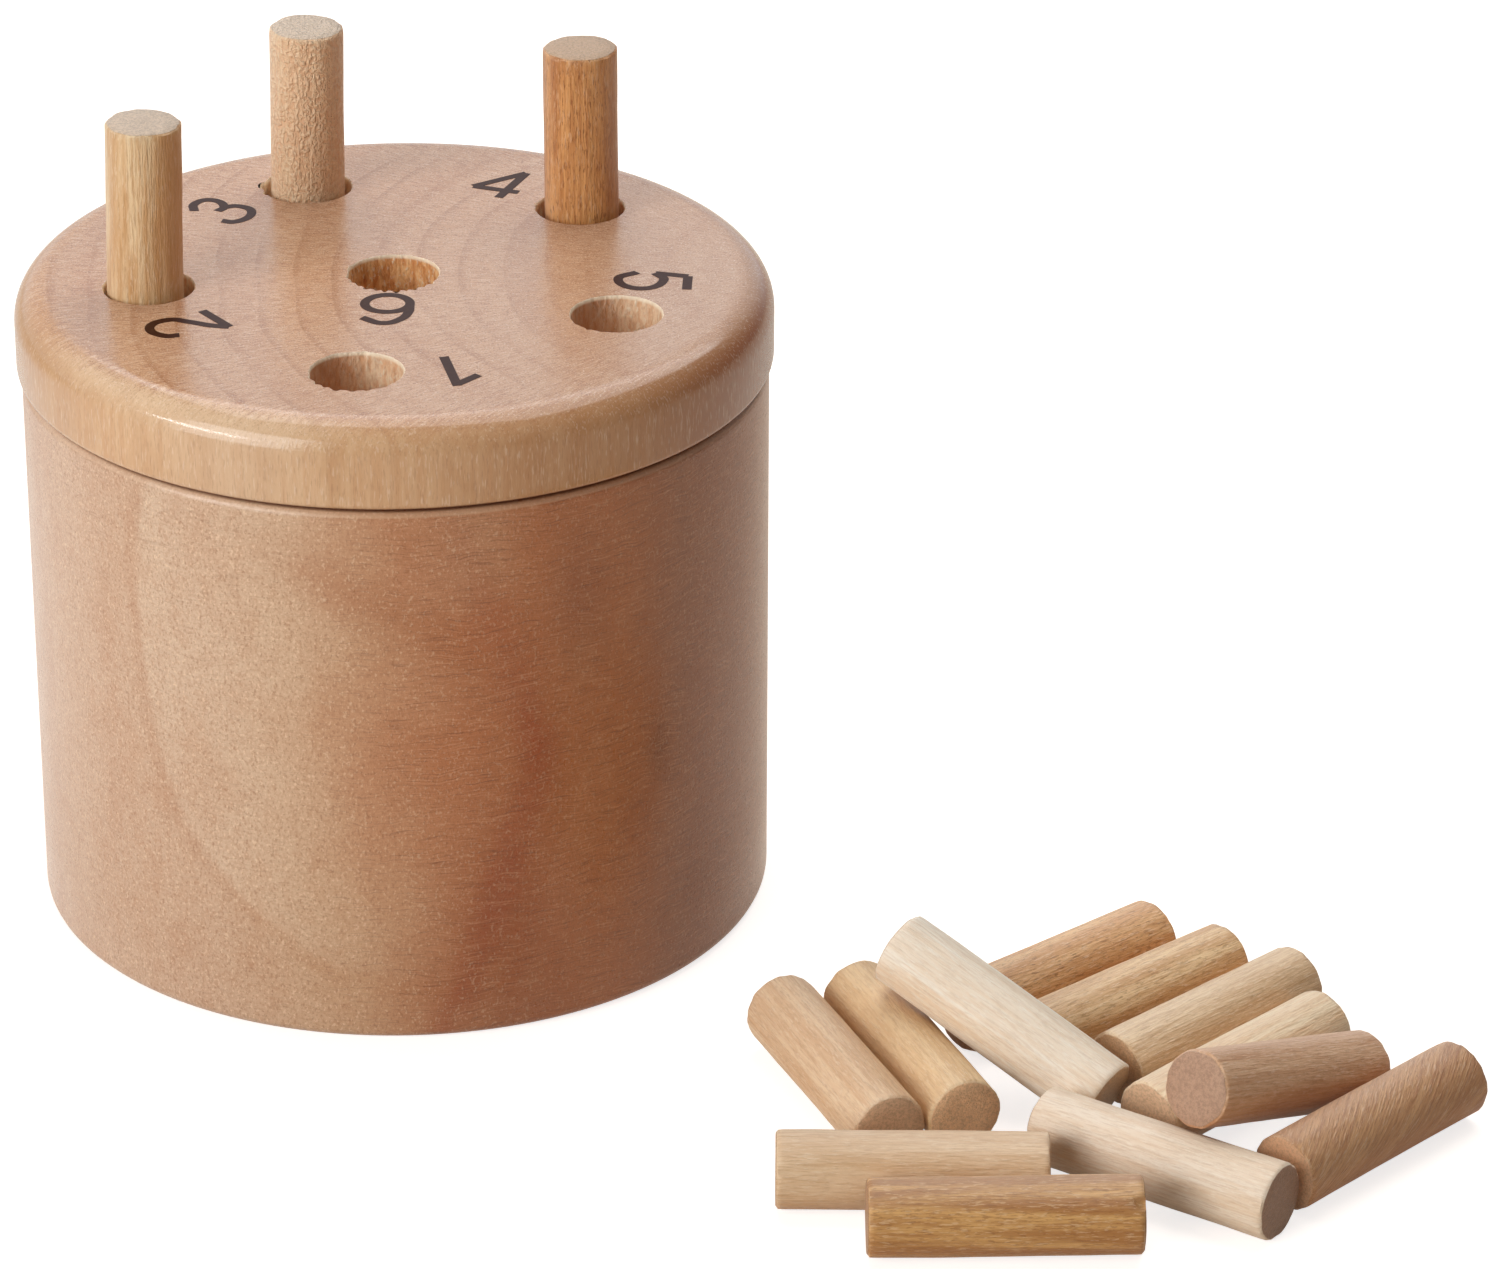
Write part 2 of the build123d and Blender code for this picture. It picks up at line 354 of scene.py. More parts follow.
def cup_wood():
    """Clear satin varnish over tan wood, with a pale eye in front and a red-brown flame to the right of it."""
    finish = Finish("cup_varnished_wood")
    place = finish.piece_place()
    x, y, z = finish.parts(place)
    warp = finish.noise(place, (0.05, 0.05, 0.05), 3.0) - 0.5
    small_warp = finish.noise(place, (0.22, 0.22, 0.16), 3.0) - 0.5

    # Places on the unrolled wall: around is 0 in front and grows to the right, and level grows upwards
    around = finish.maths("ARCTAN2", x, 0.0 - y) * CUP_RADIUS + warp * 3.0 + small_warp * 1.2
    level = z + warp * 4.0 + small_warp * 1.2
    front = finish.step(y + warp * 14.0, 16.0, -14.0)
    right = finish.step(around, -12.0, 10.0) * front

    def eye(middle, height, half_width, half_height):
        """How far out a place is from an eye in the grain, in shares of the eye's half size."""
        return finish.length((around - middle) / half_width, (level - height) / half_height)

    # Rings round the tree's middle, which lies behind the cup
    pith_x, pith_y = 8.4, 60.0
    reach = finish.length(x - pith_x, y - pith_y)
    rings = finish.maths("FRACT", (reach + warp * 6.0) / 4.4)
    beside = finish.step(reach, 92.0, 84.0)
    warm_back = finish.step(x + warp * 16.0, 6.0, 38.0) * finish.step(y + warp * 24.0, 38.0, -4.0)

    # The pale eye, and the flame to its right
    left_eye = eye(2.0, 46.0, 29.2, 39.0)
    below = finish.step(level, 24.0, 2.0)
    clear_patch = finish.peak(around, 9.0, 8.0) * finish.step(level, 46.0, 53.0)
    flame = finish.step(around + warp * 14.0 - below * 6.0, -15.0, 13.0) * (1.0 - clear_patch * 0.3) * front
    flame = flame * (1.0 - finish.step(around, 44.0, 64.0) * 0.5)

    # Inside the flame: a second eye with a red line beside it, a brow over it, and a pale lens to the right
    uneven = finish.noise(place, (0.13, 0.13, 0.07), 3.0, 0.6, shift=(2, 7, 5))
    strength = 0.35 + finish.step(uneven, 0.36, 0.6) * 0.65
    right_eye = eye(-4.1, 30.0, 20.4, 27.0)
    inner = finish.step(right_eye, 0.5, 0.98) * finish.step(right_eye, 1.3, 1.0) * right
    lower = 0.25 + finish.step(level, 45.0, 34.0) * 0.75
    from_bend = finish.length(level - 31.0, 3.0)
    red_line = finish.peak(around + from_bend * 0.36, 17.0, 3.4) * right * lower * strength
    brow = finish.peak(level + around * 0.56, 48.4, 6.0) * finish.peak(around, 0.0, 17.0) * front
    arch = (33.0 - level) - 3.0 * finish.maths("ABSOLUTE", around - 22.5)
    lens = finish.step(arch, -0.8, 0.8) * finish.step(arch, 26.0, 4.0) * front

    # Darker and paler places of the front: its foot, an upright stripe, a spot and the upper right; painted shade
    # darkens the right, and a pale stripe of painted reflection lies at the right edge
    foot = finish.peak(around, 13.0, 10.0) * finish.step(level, 30.0, 10.0) * front
    stripe = finish.peak(around, 33.5, 4.5) * front
    painted_edge_reflection = finish.peak(around, 60.0, 14.0)
    spot = finish.peak(around, 31.0, 3.0) * finish.peak(level, 28.0, 5.0) * front
    painted_shade_right = finish.step(around, 24.0, 36.0) * finish.step(around, 66.0, 42.0) * front
    upper = finish.peak(around, 21.0, 6.0) * finish.peak(level, 48.0, 13.0) * front
    figured = finish.layered(
        colour(222, 192, 164),
        (finish.step(rings, 0.2, 0.95) * beside * 0.3, colour(188, 136, 102)),
        (warm_back * 0.7, colour(190, 126, 84)),
        (finish.step(left_eye, 0.97, 1.02) * front * 0.26, colour(194, 144, 110)),
        (finish.peak(left_eye, 1.02, 0.045) * front * 0.16, colour(180, 124, 88)),
        (finish.step(around, -24.0, 4.0) * front * 0.5, colour(216, 172, 122)),
        (flame * 0.9, colour(186, 107, 57)),
        (inner * strength * 0.3, colour(168, 84, 38)),
        (red_line * 0.55, colour(158, 62, 24)),
        (brow * 0.42, colour(170, 96, 46)),
        (lens * 0.2, colour(208, 144, 102)),
        (foot * 0.5, colour(150, 66, 14)),
        (stripe * 0.3, colour(204, 148, 112)),
        # painted reflection, a pale stripe at the right edge
        (painted_edge_reflection * 0.3, colour(218, 184, 156)),
        (spot * 0.4, colour(104, 54, 34)),
        # painted shade on the right
        (painted_shade_right * 0.55, colour(122, 60, 8)),
        (upper * 0.4, colour(136, 74, 46)),
    )

    # Fine grain with painted glints, scratches that run round the cup, and under the lid a painted highlight on the
    # rim's rounded edge and painted shade in the seam
    cloud = finish.noise(place, (0.16, 0.16, 0.09), 4.0, 0.6)
    mottle = finish.noise(place, (0.7, 0.7, 0.45), 4.0, 0.65, shift=(7, 1, 3))
    speckle = finish.noise(place, (2.6, 2.6, 2.3), 3.0, 0.7)
    pores = finish.noise(place, (4.2, 4.2, 2.6), 2.0, 0.5)
    glints = finish.noise(place, (3.6, 3.6, 2.8), 2.0, 0.5, shift=(5, 9, 1))
    lathe = finish.node("CombineXYZ", None, {0: around, 1: level, 2: reach}).outputs[0]
    scratches = finish.noise(lathe, (0.3, 7.0, 0.2), 3.0, 0.6)
    edge = finish.step(finish.length(x, y), 37.6, 38.2)
    tone = finish.layered(
        figured,
        (finish.step(cloud, 0.46, 0.7) * 0.2, colour(190, 130, 88)),
        (finish.step(mottle, 0.46, 0.66) * 0.14, colour(176, 114, 72)),
        (finish.step(speckle, 0.4, 0.66) * 0.32, colour(168, 104, 60)),
        (finish.step(pores, 0.55, 0.68) * 0.34, colour(146, 86, 48)),
        # painted glints
        (finish.step(glints, 0.55, 0.7) * (0.44 - flame * 0.24), colour(250, 220, 186)),
        (finish.step(scratches, 0.55, 0.68) * (0.16 + right * 0.34), colour(120, 72, 50)),
        (finish.step(scratches, 0.45, 0.34) * right * 0.3, colour(226, 172, 132)),
        # a painted highlight on the rim's rounded edge, then painted shade in the seam under the lid
        (finish.step(z, 59.25, 59.45) * edge * 0.35, colour(244, 206, 170)),
        (finish.step(z, 59.75, 59.95) * edge * 0.75, SEAM_SHADE),
    )
    relief = speckle * 0.5 + pores * 0.4 + glints * 0.4 - scratches * 0.4
    return finish.surface(tone, 0.22 + speckle * 0.14, relief, 0.05)


# A peg's look: its slot, its light, dark and end colours, how strong its flecks and bands are, how
# far its grain winds round it, in radians per millimetre, and how pebbly it is
PegLook = namedtuple("PegLook", "slot light dark end flecks bands wind pebbly", defaults=(0.0, 0.0))

# The way that the strongest light travels, past the front left
LIGHT_WAY = Vector((0.8, 0.0, -1.0))


def peg_wood(name, middle, turn, look, seed):
    """Bare sanded wood with its grain along the peg: broad bands, fibres and flecks, darker rough ends, painted
    glints, and painted light and shade on the sides towards and away from the light.
    """
    finish = Finish(name)
    place = finish.piece_place(tuple(middle), tuple(turn))
    x, y, z = finish.parts(place)
    light, dark, end = (colour(*tone) for tone in (look.light, look.dark, look.end))
    away = turn.to_matrix().inverted() @ LIGHT_WAY
    from_light = (x * away.x + y * away.y) / hypot(away.x, away.y)
    if look.wind:
        values = {"Vector": place, "Angle": z * look.wind}
        place = finish.node("VectorRotate", {"rotation_type": "Z_AXIS"}, values).outputs[0]

    own = {"turn": (0, 0, seed), "shift": (seed * 7.0, seed * 3.0, seed * 11.0)}
    bands = finish.noise(place, (0.5, 0.5, 0.03), 2.0, 0.5, **own)
    streaks = finish.noise(place, (2.0, 2.0, 0.1), 3.0, 0.6, **own)
    fibres = finish.noise(place, (5.0, 5.0, 0.42), 3.0, 0.65, **own)
    flecks = finish.noise(place, (4.8, 4.8, 0.9), 3.0, 0.6, **own)
    glints = finish.noise(place, (5.0, 5.0, 0.8), 3.0, 0.6, turn=(0, 0, seed), shift=(5.0, seed, 9.0))
    pebbles = finish.noise(place, (2.7, 2.7, 2.2), 2.0, 0.5, shift=(seed, 3.0, 1.0))
    peel = finish.step(pebbles, 0.35, 0.65) * look.pebbly
    grainy = finish.noise(place, (3.2, 3.2, 3.2), 4.0, 0.7, shift=(seed, seed, seed))

    from_axis = finish.length(x, y)
    height = finish.maths("ABSOLUTE", z)
    on_end = finish.step(height, 13.34, 13.42) * finish.step(from_axis, 3.94, 3.8)
    end_tone = finish.mix(finish.step(grainy, 0.38, 0.66), end, finish.mix(0.32, end, colour(96, 60, 40)))
    rim = finish.step(height, 13.2, 13.36) * finish.step(from_axis, 3.74, 3.86)
    fibre_tone = finish.mix(0.3, dark, colour(132, 84, 48))
    fleck_tone = finish.mix(0.5, dark, colour(116, 66, 32))
    glint_tone = finish.mix(0.3, light, colour(255, 246, 228))
    hollow_shade_tone = finish.mix(0.5, dark, colour(186, 112, 66))
    lit_tone = finish.mix(0.6, light, colour(255, 244, 236))
    shaded_tone = finish.mix(0.45, dark, colour(232, 140, 66))
    tone = finish.layered(
        light,
        (finish.step(bands, 0.4, 0.6) * look.bands, dark),
        (finish.step(streaks, 0.44, 0.64) * (0.5 - look.pebbly * 0.35), dark),
        (finish.step(fibres, 0.48, 0.64) * 0.4, fibre_tone),
        (finish.step(flecks, 0.54, 0.64) * look.flecks, fleck_tone),
        # painted glints
        (finish.step(glints, 0.54, 0.66) * 0.5, glint_tone),
        # painted shade in the hollows of the pebbly skin, then painted glints on its bumps
        (finish.step(pebbles, 0.5, 0.36) * look.pebbly * 0.3, hollow_shade_tone),
        (finish.step(pebbles, 0.56, 0.68) * look.pebbly * 0.35, colour(255, 232, 204)),
        # painted light on the side towards the light, then painted shade on the side away from it
        (finish.step(from_light, -2.0, -4.0) * 0.15, lit_tone),
        (finish.step(from_light, 0.5, 4.0) * 0.42, shaded_tone),
        (on_end, end_tone),
        (rim * 0.5, finish.mix(0.5, light, colour(250, 230, 200))),
    )
    relief = streaks * 0.4 + fibres * 0.7 + glints * 0.6 + on_end * grainy * 0.6 + peel
    return finish.surface(tone, 0.36 + fibres * 0.16, relief, 0.15, sheen=0.1)


def ink():
    """Dark printed ink under the lid's varnish."""
    finish = Finish("numeral_ink")
    place = finish.piece_place()
    worn = finish.noise(place, (2.5, 2.5, 2.5), 4.0, 0.7)
    tone = finish.mix(finish.step(worn, 0.5, 0.75) * 0.35, colour(58, 24, 6), colour(96, 58, 34))
    return finish.surface(tone, 0.4, worn, 0.01, gloss=0.25, bend=1.3)


def die_wood(middle, turn):
    """Bare sanded wood with its grain across the die."""
    finish = Finish("die_bare_wood")
    place = finish.piece_place(middle, turn)
    bands = finish.noise(place, (0.25, 0.03, 0.4), 2.0)
    fibres = finish.noise(place, (3.0, 0.25, 3.0), 4.0, 0.65)
    tone = finish.layered(
        colour(226, 190, 144),
        (finish.step(bands, 0.35, 0.65) * 0.5, colour(204, 158, 108)),
        (finish.step(fibres, 0.45, 0.7) * 0.4, colour(184, 132, 84)),
    )
    return finish.surface(tone, 0.36 + fibres * 0.12, fibres, 0.03)


def pip_paint():
    """Dark brushed paint in the die's pips."""
    finish = Finish("pip_dark_paint")
    place = finish.piece_place()
    brushed = finish.noise(place, (2.0, 2.0, 2.0), 3.0)
    tone = finish.mix(brushed, colour(34, 28, 26), colour(58, 46, 40))
    return finish.surface(tone, 0.25 + brushed * 0.15, brushed, 0.03)


# Shapes

def turned_body(profile, steps=256):
    """A body turned round the upright axis from its profile, given as radius and height."""
    body = bmesh.new()
    points = [body.verts.new((radius, 0, height)) for radius, height in profile]
    edges = [body.edges.new(pair) for pair in zip(points, points[1:])]
    bmesh.ops.spin(
        body, geom=points + edges, cent=(0, 0, 0), axis=(0, 0, 1), angle=2 * pi, steps=steps, use_merge=True,
    )
    bmesh.ops.remove_doubles(body, verts=body.verts, dist=0.0001)
    bmesh.ops.recalc_face_normals(body, faces=body.faces)
    return body


def ring_edges(body, radius, height):
    """The edges of the circle with that radius and height."""
    def on_ring(vert):
        return abs(hypot(vert.co.x, vert.co.y) - radius) < 0.01 and abs(vert.co.z - height) < 0.01
    return [edge for edge in body.edges if all(on_ring(vert) for vert in edge.verts)]


def round_edges(body, edges, size, segments):
    """Round off sharp edges by that radius."""
    bmesh.ops.bevel(
        body, geom=edges, offset=size, offset_type="OFFSET", segments=segments, profile=0.5,
        affect="EDGES", material=-1,
    )


def as_object(body, name, *materials):
    """A shape as an object in the scene, just as it is."""
    mesh = bpy.data.meshes.new(name)
    body.to_mesh(mesh)
    body.free()
    for material in materials:
        mesh.materials.append(material)
    thing = bpy.data.objects.new(name, mesh)
    bpy.context.scene.collection.objects.link(thing)
    return thing


def finished(body, name, *materials, crease=32):
    """A shape as an object at the origin, in metres, smooth apart from edges that bend by the crease or more."""
    for face in body.faces:
        face.smooth = True
    for edge in body.edges:
        edge.smooth = not edge.is_manifold or degrees(edge.calc_face_angle(0)) < crease
    bmesh.ops.scale(body, vec=(MM, MM, MM), verts=body.verts)
    return as_object(body, name, *materials)


def add_boolean(thing, other, operation):
    """A modifier that joins another object to a thing, or cuts it out."""
    modifier = thing.modifiers.new(operation.lower(), "BOOLEAN")
    modifier.operation = operation
    modifier.solver = "EXACT"
    modifier.object = other
    return modifier


def cup_piece():
    """The cup: a turned block with a flat-bottomed bore."""
    middle_ring = 20
    body = turned_body([
        (0, 0), (middle_ring, 0), (CUP_RADIUS, 0), (CUP_RADIUS, CUP_HEIGHT), (BORE_RADIUS, CUP_HEIGHT),
        (BORE_RADIUS, CUP_FLOOR), (middle_ring, CUP_FLOOR), (0, CUP_FLOOR),
    ])
    round_edges(body, ring_edges(body, CUP_RADIUS, 0), 1.2, 5)
    round_edges(body, ring_edges(body, CUP_RADIUS, CUP_HEIGHT), 1.0, 5)
    round_edges(body, ring_edges(body, BORE_RADIUS, CUP_HEIGHT), 0.5, 3)
    round_edges(body, ring_edges(body, BORE_RADIUS, CUP_FLOOR), 0.8, 3)
    return finished(body, "turned_cup", cup_wood())


def rim_tear(number, angle):
    """How far the rim of a hole is torn outwards in one direction."""
    tear = 0.0
    for middle, width, depth in RIM_CHIPS[number]:
        off = abs((angle - middle + 180) % 360 - 180)
        tear = max(tear, depth * smooth(width - off, 0, width * 0.7))
    rough = noise.noise(Vector((angle * 0.3, number * 3.1, 0.5)))
    return tear + 0.12 * max(rough, 0)


def bore_hole(body, number, floor_height):
    """A hole down from the lid's top: an apron, a torn rim and rough walls. Gives its outer and its lowest edges."""
    middle_x, middle_y = HOLE_MIDDLES[number]
    loop = bmesh.ops.create_circle(body, radius=HOLE_RADIUS + APRON, segments=160)["verts"]
    bmesh.ops.translate(body, verts=loop, vec=(middle_x, middle_y, LID_TOP))
    outer = [edge for edge in body.edges if all(vert in loop for vert in edge.verts)]
    depth = LID_TOP - floor_height
    rings = RIM_STEPS + [(0.0, depth * share, 0.0) for share in WALL_SHARES]
    edges = outer
    for step, (outside, down, torn) in enumerate(rings):
        grown = bmesh.ops.extrude_edge_only(body, edges=edges)["geom"]
        edges = [item for item in grown if isinstance(item, bmesh.types.BMEdge)]
        for vert in (item for item in grown if isinstance(item, bmesh.types.BMVert)):
            angle = atan2(vert.co.y - middle_y, vert.co.x - middle_x)
            reach = HOLE_RADIUS + outside + torn * rim_tear(number, degrees(angle))
            if step > 1:
                rough = noise.noise(Vector((cos(angle) * 3.2, sin(angle) * 3.2, down * 0.55 + number * 7)))
                reach += 0.14 * max(rough, -0.35) * smooth(down, 0.1, 1.0)
            vert.co = (middle_x + reach * cos(angle), middle_y + reach * sin(angle), LID_TOP - down)
    return outer, edges


def lid_piece():
    """The lid: a turned disc with a plug under it, five blind holes and one right through."""
    body = turned_body([
        (TOP_FILL_RADIUS, LID_TOP), (LID_RADIUS, LID_TOP), (LID_RADIUS, LID_UNDERSIDE),
        (PLUG_RADIUS, LID_UNDERSIDE), (PLUG_RADIUS, PLUG_END), (END_FILL_RADIUS, PLUG_END),
    ])
    round_edges(body, ring_edges(body, LID_RADIUS, LID_TOP), LID_TOP_ROUNDING, 12)
    round_edges(body, ring_edges(body, LID_RADIUS, LID_UNDERSIDE), 0.8, 4)
    round_edges(body, ring_edges(body, PLUG_RADIUS, PLUG_END), 0.6, 3)
    top_rims = ring_edges(body, TOP_FILL_RADIUS, LID_TOP)
    end_rims = ring_edges(body, END_FILL_RADIUS, PLUG_END)
    turned_faces = set(body.faces)
    for number in HOLE_MIDDLES:
        through = number == THROUGH_HOLE
        outer, lowest = bore_hole(body, number, PLUG_END if through else BLIND_FLOOR)
        top_rims += outer
        if through:
            end_rims += lowest
        else:
            bmesh.ops.contextual_create(body, geom=lowest)
    for face in body.faces:
        if face not in turned_faces:
            face.material_index = 1 if face.calc_center_median().z < LID_TOP - 0.03 else 0
    for edges in (top_rims, end_rims):
        bmesh.ops.triangle_fill(body, edges=edges, use_beauty=True, use_dissolve=False, normal=(0, 0, 1))
    bmesh.ops.recalc_face_normals(body, faces=body.faces)
    return finished(body, "turned_lid", lid_wood(), hole_wood())


def vert_noise(vert, across, along, shift):
    """Noise at a vertex of an upright peg, with its scales across and along the peg."""
    return noise.noise(Vector((vert.co.x * across, vert.co.y * across, vert.co.z * along + shift)))


def peg_piece(name, middle, turn, material, seed, nick=None):
    """A sawn and sanded dowel: not quite round or straight, with worn ends. A nick is its place from the
    peg's middle, its size and its depth."""
    side_length = 2 * (PEG_HALF - PEG_EDGE)
    profile = [(0, -PEG_HALF), (PEG_END_RING, -PEG_HALF), (PEG_RADIUS - PEG_EDGE, -PEG_HALF)]
    profile += [(PEG_RADIUS, -PEG_HALF + PEG_EDGE + share * side_length) for share in PEG_SHARES]
    profile += [(PEG_RADIUS - PEG_EDGE, PEG_HALF), (PEG_END_RING, PEG_HALF), (0, PEG_HALF)]
    body = turned_body(profile, 96)
    for vert in body.verts:
        reach = hypot(vert.co.x, vert.co.y)
        if reach < 0.01:
            continue
        outward = Vector((vert.co.x / reach, vert.co.y / reach, 0))
        height = abs(vert.co.z)
        up = 1 if vert.co.z > 0 else -1
        worn = smooth(height, PEG_HALF - 0.9, PEG_HALF - 0.2)
        ragged = vert_noise(vert, 0.9, 0.0, seed * 3 + (5 if up > 0 else 0))
        growth = 0.09 * (vert_noise(vert, 0.5, 0.05, seed * 5) - 0.5)
        growth += 0.05 * (vert_noise(vert, 1.6, 0.22, seed * 9) - 0.5)
        growth -= worn * 0.16 * max(ragged + 0.2, 0)
        if reach > PEG_END_RING + 0.1:
            vert.co += outward * growth
        if height > PEG_HALF - 0.01:
            vert.co.z -= up * (0.04 + 0.05 * vert_noise(vert, 0.3, 1.0, seed * 2))
    bmesh.ops.rotate(body, verts=body.verts, cent=(0, 0, 0), matrix=turn.to_matrix())
    if nick:
        place, size, depth = Vector(nick[0]), nick[1], nick[2]
        along = turn.to_matrix() @ Vector((0, 0, 1))
        inward = (along * place.dot(along) - place).normalized()
        for vert in body.verts:
            vert.co += inward * depth * smooth(size - (vert.co - place).length, 0, size * 0.6)
    bmesh.ops.translate(body, verts=body.verts, vec=middle)
    return finished(body, name, material, crease=50)


# The cup and the lid
cup = cup_piece()
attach(cup, "cup")
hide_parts("cup")

lid = lid_piece()
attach(lid, "lid")
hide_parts("lid")

# The pegs
HONEY = "wood_peg_honey"
CREAM = "wood_peg_cream"
TAN = "wood_peg_tan"
PEG_LOOKS = {
    "standing_peg_2": PegLook(HONEY, (242, 212, 168), (206, 152, 94), (226, 200, 174), 0.15, 0.6),
    "standing_peg_3": PegLook(TAN, (255, 222, 182), (248, 188, 140), (246, 220, 194), 0.2, 0.2, pebbly=1.0),
    "standing_peg_4": PegLook(TAN, (226, 166, 104), (178, 110, 56), (208, 172, 138), 0.8, 0.7),
    "loose_peg_1": PegLook(TAN, (236, 202, 162), (212, 162, 114), (230, 190, 152), 0.25, 0.5),
    "loose_peg_2": PegLook(HONEY, (236, 202, 154), (214, 166, 110), (248, 204, 158), 0.2, 0.3),
    "loose_peg_3": PegLook(CREAM, (255, 244, 226), (240, 210, 174), (214, 178, 140), 0.12, 0.45),
    "loose_peg_4": PegLook(TAN, (246, 200, 144), (208, 144, 84), (184, 134, 94), 0.7, 0.6),
    "loose_peg_5": PegLook(TAN, (244, 208, 158), (206, 150, 92), (192, 144, 104), 0.5, 0.7),
    "loose_peg_6": PegLook(HONEY, (238, 208, 168), (204, 158, 110), (214, 170, 128), 0.25, 0.5),
    "loose_peg_7": PegLook(HONEY, (246, 222, 186), (226, 182, 134), (234, 196, 158), 0.2, 0.4),
    "loose_peg_8": PegLook(TAN, (226, 182, 142), (194, 134, 88), (202, 162, 134), 0.3, 0.3),
    "loose_peg_9": PegLook(TAN, (206, 156, 108), (160, 100, 56), (226, 176, 134), 0.4, 0.3, wind=0.16),
    "loose_peg_10": PegLook(CREAM, (244, 224, 200), (230, 196, 158), (172, 130, 102), 0.12, 0.4),
    "loose_peg_11": PegLook(HONEY, (234, 202, 164), (212, 168, 120), (204, 162, 120), 0.15, 0.4),
    "loose_peg_12": PegLook(TAN, (220, 170, 104), (170, 112, 54), (190, 142, 100), 0.5, 0.9),
}
STORED_LOOKS = (
    PegLook(HONEY, (228, 200, 162), (196, 152, 108), (212, 172, 132), 0.25, 0.5),
    PegLook(CREAM, (240, 220, 192), (216, 184, 148), (208, 176, 144), 0.15, 0.4),
    PegLook(TAN, (214, 172, 130), (172, 120, 78), (190, 148, 114), 0.6, 0.6),
)
NICKS = {
    "loose_peg_12": ((13.2, -2.5, 3.1), 1.0, 0.5),
    "loose_peg_9": ((9.2, 9.5, -3.2), 0.9, 0.3),
    "loose_peg_4": ((-4.0, -1.5, 3.8), 0.8, 0.2),
}

# Which way each peg points. In the heap: its direction from +X, and its rise above level. Inside the cup: its
# direction from +X, and how far it leans from upright. The standing ones lean towards +X.
STANDING_LEANS = {2: 1.3, 3: 1.0, 4: 0.0}
HEAP_WAYS = {
    1: (113.5, 0), 2: (113.0, 0), 3: (146.0, 20.5), 4: (40.0, 0), 5: (40.5, 0), 6: (43.0, 0),
    7: (45.0, 0), 8: (45.0, -17.5), 9: (45.0, 0), 10: (-33.5, 0), 11: (179.5, 0), 12: (-178.5, 0),
}
STORED_LEANS = {
    1: (14, 22), 2: (54, 26), 3: (93, 19),
    4: (134, 24), 5: (172, 27), 6: (213, 20),
    7: (252, 25), 8: (292, 21), 9: (334, 27),
}


def pointing(turn, rise):
    """The turn that points an upright peg in a direction from +X, with its rise above level."""
    turn, rise = radians(turn), radians(rise)
    along = Vector((cos(turn) * cos(rise), sin(turn) * cos(rise), sin(rise)))
    return along.to_track_quat("Z", "Y").to_euler()


peg_turns = {}
for number, lean in STANDING_LEANS.items():
    peg_turns[f"standing_peg_{number}"] = pointing(0, 90 - lean)
for number, (turn, rise) in HEAP_WAYS.items():
    peg_turns[f"loose_peg_{number}"] = pointing(turn, rise)
for number, (turn, lean) in STORED_LEANS.items():
    peg_turns[f"stored_peg_{number}"] = pointing(turn, 90 - lean)

for order, (node, turn) in enumerate(peg_turns.items()):
    look = PEG_LOOKS.get(node) or STORED_LOOKS[order % len(STORED_LOOKS)]
    low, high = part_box(node)
    middle = (low + high) / 2
    wood = peg_wood(f"{node}_wood", middle, turn, look, order * 0.73 + 0.4)
    peg = peg_piece(f"dowel_{node}", middle / MM, turn, wood, order + 1, NICKS.get(node))
    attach(peg, node)
    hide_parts(node)

# Numerals on the lid, as strokes: each is a run of points, and one that ends where it starts is a loop
STROKE_WIDTH = 1.0
INK_THICKNESS = 0.02
INK_GAP = 0.005
NUMERALS = {
    1: [[(6.1, -21.6), (7.8, -28.8)], [(7.75, -28.4), (9.8, -26.1)]],
    2: [[(-19.2, -10.1), (-16.1, -14.25)],
        [(-16.1, -14.25), (-18.0, -13.9), (-20.3, -13.0), (-22.4, -12.5), (-24.2, -14.5), (-22.4, -16.65),
         (-21.0, -16.4)]],
    3: [[(-22.2, 16.75), (-22.3, 18.8), (-20.8, 19.9), (-19.1, 18.0), (-19.7, 16.75)],
        [(-19.0, 17.9), (-17.7, 18.2), (-16.1, 16.75), (-17.7, 13.8), (-19.05, 14.1)]],
    4: [[(12.75, 27.9), (10.0, 20.9)], [(12.75, 27.9), (7.2, 24.1)], [(7.2, 24.1), (12.1, 22.4)]],
    5: [[(25.2, 0.54), (23.25, -1.3), (25.75, -3.8), (28.0, -1.5), (27.1, 0.33)], [(27.1, 0.33), (30.5, -0.5)],
        [(30.5, -0.5), (30.4, -4.0)]],
    6: [[(2.0, -8.2), (-0.25, -5.75), (-2.65, -8.0), (-0.46, -10.2), (2.0, -8.2)],
        [(2.0, -8.2), (1.95, -10.2), (1.2, -12.1), (-0.46, -13.1), (-2.75, -11.7)]],
}


